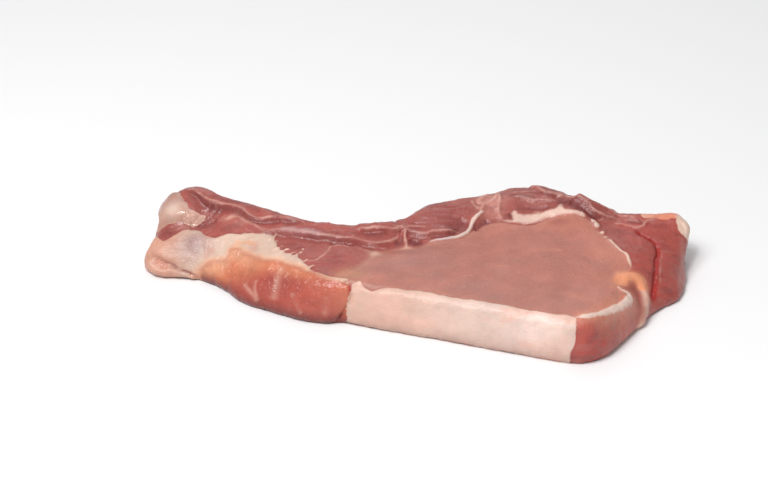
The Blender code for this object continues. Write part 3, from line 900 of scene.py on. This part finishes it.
def paint_fat(spots):
    """How deep each spot lies in fat, the fat's tint there, and how ragged its edge is."""
    x, y, z = spots.T
    tint = np.tile(linear(FAT["ridge"]), (len(spots), 1))
    inside = 0.45 * depth_inside(RIDGE_FAT, spots)  # a slow slope gives this patch its soft edge
    wash(tint, FAT["tendon"], blob(spots, (17, 15), (12, 12)))
    wash(tint, FAT["bluish"], 0.7 * blob(spots, (9, 9.6), (4, 2)))
    wash(tint, FAT["nodule"], ease(x, 62, 64))
    wash(tint, FAT["rim"], ease(-x, 20, 24))
    wash(tint, FAT["white curl"], ease(x, 50, 54) * ease(-y, 12, 16))
    for route, half_width in FAT_LINES:
        away, _, share = reach(route, spots, 6)
        inside = np.maximum(inside, half_width * (0.4 + 0.6 * taper(share)) - away)
    for spike in FAT_SPIKES:
        away, _, share = reach(spike, spots, 6)
        inside = np.maximum(inside, 0.8 * (1 - share) - away)
    for place, radius, _ in NODULES:
        inside = np.maximum(inside, radius * 0.8 - np.linalg.norm(spots[:, :2] - place, axis=1))

    ragged_bottom = z - 9.5 + 1.6 * unevenness(spots * (1, 1, 0), 5, 71)
    lobe_top = np.minimum(depth_inside(LOBE_TOP, spots), ragged_bottom)
    corner = 5.0 - np.linalg.norm((spots - (99.5, 23.5, 14.5)) * (1, 1, 0.7), axis=1)
    wash(tint, FAT["lobe top"], ease(lobe_top, -2, 0))
    wash(tint, FAT["rim"], ease(lobe_top, -2, 0) * 0.7 * ease(-x, -90, -80))
    wash(tint, FAT["corner"], ease(corner, -1.5, 1))
    inside = np.maximum(inside, np.maximum(lobe_top, corner))

    slant = BAND_SLANT * (1 - z / 15).clip(0, 1)
    wave = 0.5 * unevenness(spots, 4.0, 67)
    band = np.minimum(-signed(spots, FAT_CUT_EDGE, 20), 53.6 - 0.4 * slant + wave - x)
    band = np.minimum(band, x + 23.2 + slant)
    inside = np.maximum(inside, band)
    in_band = ease(band, -1.5, 0)
    wash(tint, FAT["back fat"], in_band)
    wash(tint, FAT["back fat left"], 0.8 * in_band * ease(-x, -22, 12))
    wash(tint, FAT["back fat right"], 0.9 * in_band * ease(x, 22, 40) * ease(-x, -52, -42))
    wash(tint, FAT["back fat pink"], 0.7 * in_band * patches(spots * (0.5, 1, 1), 6, 3))
    # painted shade: the back fat darkens towards the floor
    wash(tint, FAT["back fat lower shade"], 0.65 * in_band * ease(-z, -8, 0.5))
    wash(tint, FAT["recess"], 0.6 * in_band * ease(-z, -1.8, -0.6) * patches(spots, 5, 19))

    flank = np.where(x < -30, -signed(spots, TORN_FAT_EDGE), -FAR)
    inside = np.maximum(inside, flank)
    in_flank = ease(flank, -2, 0)
    wash(tint, FAT["flank"], in_flank)
    wash(tint, FAT["flank pink"], 0.6 * in_flank * patches(spots, 4.5, 29, 0.0, 0.8))
    wash(tint, FAT["flank low"], 0.85 * in_flank * ease(-x, 80, 92))
    wash(tint, FAT["flank grey"], 0.9 * blob(spots, (-81.5, 17), (5.5, 4)))
    wash(tint, FAT["flank orange"], 0.9 * in_flank * ease(-signed(spots, LOBE_FADE), -2.6, 0))
    wash(tint, FAT["flank orange"], 0.8 * line(spots, [(-66.4, 13.4), (-62, 12), (-58, 10)], 0.8))
    # painted shade in the crease of the lip's fold, over dark red tissue
    wash(tint, FAT["fold"], ease(x, -101, -86) * (1.3 * line(spots, LIP_FOLD, 0.6)).clip(0, 0.9))
    wash(tint, FAT["recess"], 0.7 * line(spots, LIP_RECESS, 1.2)
        + 0.6 * blob(spots, (-100, 17, 3), (2, 3, 2.4)))
    # painted shade along the foot of the flank fat's left end
    wash(tint, FAT["fold"], 0.5 * ease(-x, 78, 84) * ease(-z, -1.6, -0.4))

    knob = np.minimum(depth_inside(CARTILAGE, spots), z - 4 - 0.08 * (y - 36) ** 2)
    inside = np.maximum(inside, knob)
    in_knob = ease(knob, -0.8, 0.4)
    wash(tint, FAT["cartilage"], in_knob)
    wash(tint, FAT["cartilage tongue"], in_knob * ease(x, -87, -83))
    # painted highlight on the knob's upper left front
    wash(tint, FAT["cartilage highlight"], 0.9 * in_knob * blob(spots, (-90, 30.5, 18), (3.4, 3.4, 4)))
    ragged = 0.12 + 0.4 * blob(spots, (-46, 3), (8, 12))
    return inside, tint, ragged, in_knob


# %% Put the paint on the pieces
def store(mesh, name, values):
    """Keeps a number or a colour at each vertex."""
    kind, field = ("FLOAT", "value") if values.ndim == 1 else ("FLOAT_COLOR", "color")
    if values.ndim == 2:
        values = np.column_stack([values, np.ones(len(values))])
    attribute = mesh.attributes.new(name, kind, "POINT")
    attribute.data.foreach_set(field, values.astype(np.float32).ravel())


def paint(piece):
    mesh = piece.data
    spots = wandering(np.array([vert.co for vert in mesh.vertices]) / MM)
    lean, eye = paint_lean(spots)
    in_lobe = paint_lobe(spots, lean)
    inside, fat, ragged, in_knob = paint_fat(spots)
    cover = np.where(spots[:, 0] < -25, ease(signed(spots, LOBE_FADE), -1.0, 1.2), 1.0)
    by_knob = blob(spots, (-80, 26), (8, 5)) + blob(spots, (-92, 23), (4, 3))
    store(mesh, "lean_tint", lean)
    store(mesh, "fat_tint", fat)
    store(mesh, "inside_fat", inside.clip(-20, 20))
    store(mesh, "fat_cover", cover)
    store(mesh, "ragged", ragged)
    inside_film, film = paint_film(spots)
    store(mesh, "inside_film", inside_film)
    store(mesh, "film", film * (1 - eye))
    damp = 0.55 * (1 - eye) * patches(spots, 3.2, 33) * ease(-spots[:, 0], -40, -20)
    store(mesh, "wet", np.maximum(in_lobe + in_knob + by_knob, damp).clip(0, 1))


for name in PIECES:
    paint(made[name])
print("painted", ", ".join(PIECES))

# %% [markdown]
# ## Materials
#
# Raw meat is a wet gel: light enters it, scatters, and comes out a millimetre or two away, redder than it
# went in, and a thin film of water on top gives a satin sheen. So each finish is a Principled shader with a
# little subsurface scattering, a roughness near 0.4, and a fine bump that breaks the reflections up.

# %% Flesh shader
FIBRE_BUNDLE = 1.1  # mm between bundles of fibres on a cut face
MOTTLE = 9.0  # mm over which a muscle's colour drifts
RAGGED_STEP = 1.6  # mm between the points of a torn edge
PEBBLE = 1.3  # mm across the small bumps of a wet skin
SPECKLE = "#d9a898"  # fine flecks of marbling
FINE_BUMP = 0.10 * MM
SEAM_BUMP = 0.12 * MM
PEBBLE_BUMP = 0.14 * MM


def noise(tree, place, size, detail=3.0, low=0.3, high=0.7, to=(0.0, 1.0)):
    """A noise over the given size in mm, stretched to the range that to names."""
    cloud = add_node(tree, "TexNoise", {"Vector": place, "Scale": 1 / size, "Detail": detail})
    range_node = add_node(tree, "MapRange", {"Value": cloud.outputs["Fac"], "From Min": low,
        "From Max": high,
                                             "To Min": to[0], "To Max": to[1]})
    return range_node.outputs["Result"]


def attribute(tree, name, output="Fac"):
    return add_node(tree, "Attribute", attribute_name=name).outputs[output]


def math_node(tree, operation, *values):
    return add_node(tree, "Math", dict(enumerate(values)), operation=operation).outputs["Value"]


def mix(tree, share, first, second):
    return add_node(tree, "Mix", {0: share, 6: first, 7: second}, data_type="RGBA").outputs[2]


def flesh_material(name, colour, roughness, wet_roughness, scatter, stretch, **constants):
    material, shader = new_material(name, colour, **constants)
    tree = material.node_tree
    coords = add_node(tree, "TexCoord")
    place = add_node(tree, "VectorMath", {0: coords.outputs["Object"], "Scale": 1 / MM}, operation="SCALE")
    place = place.outputs["Vector"]
    along = add_node(tree, "VectorMath", {0: place, 1: (stretch, 1.0, 1.0)},
        operation="MULTIPLY").outputs["Vector"]

    shade = noise(tree, place, MOTTLE, to=(0.9, 1.1))
    grain = noise(tree, along, FIBRE_BUNDLE, 4.0, to=(0.96, 1.04))
    both = math_node(tree, "MULTIPLY", shade, grain)
    lean = add_node(tree, "VectorMath", {0: attribute(tree, "lean_tint", "Color"), "Scale": both},
                    operation="SCALE").outputs["Vector"]
    flecks = noise(tree, place, 1.4, 2.0, low=0.66, high=0.8, to=(0.0, 0.3))
    lean = mix(tree, flecks, lean, (*linear(SPECKLE), 1))
    torn = noise(tree, place, RAGGED_STEP, to=(-1.0, 1.0))
    seam = math_node(tree, "MULTIPLY_ADD", torn, 0.12, attribute(tree, "inside_film"))
    seam = add_node(tree, "MapRange", {"Value": seam, "From Min": -0.55, "From Max": 0.4},
                    interpolation_type="SMOOTHSTEP").outputs["Result"]
    film = math_node(tree, "MULTIPLY", seam, attribute(tree, "film"))
    lean = mix(tree, film, lean, (*linear(FILM), 1))

    edge = math_node(tree, "MULTIPLY_ADD", torn, attribute(tree, "ragged"), attribute(tree, "inside_fat"))
    edge = add_node(tree, "MapRange", {"Value": edge, "From Min": -0.3, "From Max": 0.3},
                    interpolation_type="SMOOTHSTEP").outputs["Result"]
    share = math_node(tree, "MULTIPLY", edge, attribute(tree, "fat_cover"))
    fat = add_node(tree, "VectorMath", {0: attribute(tree, "fat_tint", "Color"), "Scale": shade},
                   operation="SCALE").outputs["Vector"]
    tree.links.new(mix(tree, share, lean, fat), shader.inputs["Base Color"])

    wet = attribute(tree, "wet")
    sheen = add_node(tree, "MapRange", {"Value": wet, "To Min": roughness, "To Max": wet_roughness})
    tree.links.new(sheen.outputs["Result"], shader.inputs["Roughness"])
    fine = noise(tree, along, 0.8, 5.0, to=(0.0, FINE_BUMP))
    pebbles = math_node(tree, "MULTIPLY", wet, noise(tree, place, PEBBLE, 2.0, to=(0.0, PEBBLE_BUMP)))
    height = math_node(tree, "ADD", math_node(tree, "MULTIPLY_ADD", film, SEAM_BUMP, fine), pebbles)
    bump = add_node(tree, "Bump", {"Height": height, "Distance": 1.0, "Strength": 1.0})
    tree.links.new(bump.outputs["Normal"], shader.inputs["Normal"])
    shader.inputs["Subsurface Weight"].default_value = scatter
    shader.inputs["Subsurface Scale"].default_value = 1.0 * MM
    shader.inputs["Subsurface Radius"].default_value = (1.0, 0.4, 0.25)
    return material


MATERIALS = {
    # Lean: wet, fibrous and satin. Its reds are told apart by the paint.
    "loin_and_rib_lean": flesh_material("fresh pork lean", LEAN["eye"], 0.36, 0.2, 0.1, 0.75),
    # Back fat: firm, dense and waxy. It scatters more light than lean, which makes it look soft.
    "back_fat_band": flesh_material("firm back fat", FAT["back fat"], 0.4, 0.3, 0.2, 0.6),
    # Flank fat: softer and moister, thin enough at its edge for the lean to shine through.
    "flank_fat_flap": flesh_material("soft flank fat", FAT["flank"], 0.34, 0.2, 0.2, 1.0),
    # Rib cartilage under a wet skin: pearly, and the glossiest spot of all.
    "rib_knob": flesh_material("wet rib cartilage", FAT["cartilage"], 0.3, 0.16, 0.2, 1.0, Coat_Weight=0.3),
}
for name, piece in made.items():
    piece.data.materials.clear()
    piece.data.materials.append(MATERIALS[name])
    piece.data.shade_smooth()
    piece.data.set_sharp_from_angle(angle=math.radians(60))
print(len(MATERIALS), "materials")

# %% [markdown]
# ## Onto the frame
#
# Each piece rides on the frame's one body and stands for its CAD node, which is hidden.

# %% Ride and replace
for name, piece in made.items():
    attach(piece, "root")
    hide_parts(PIECES[name][0])
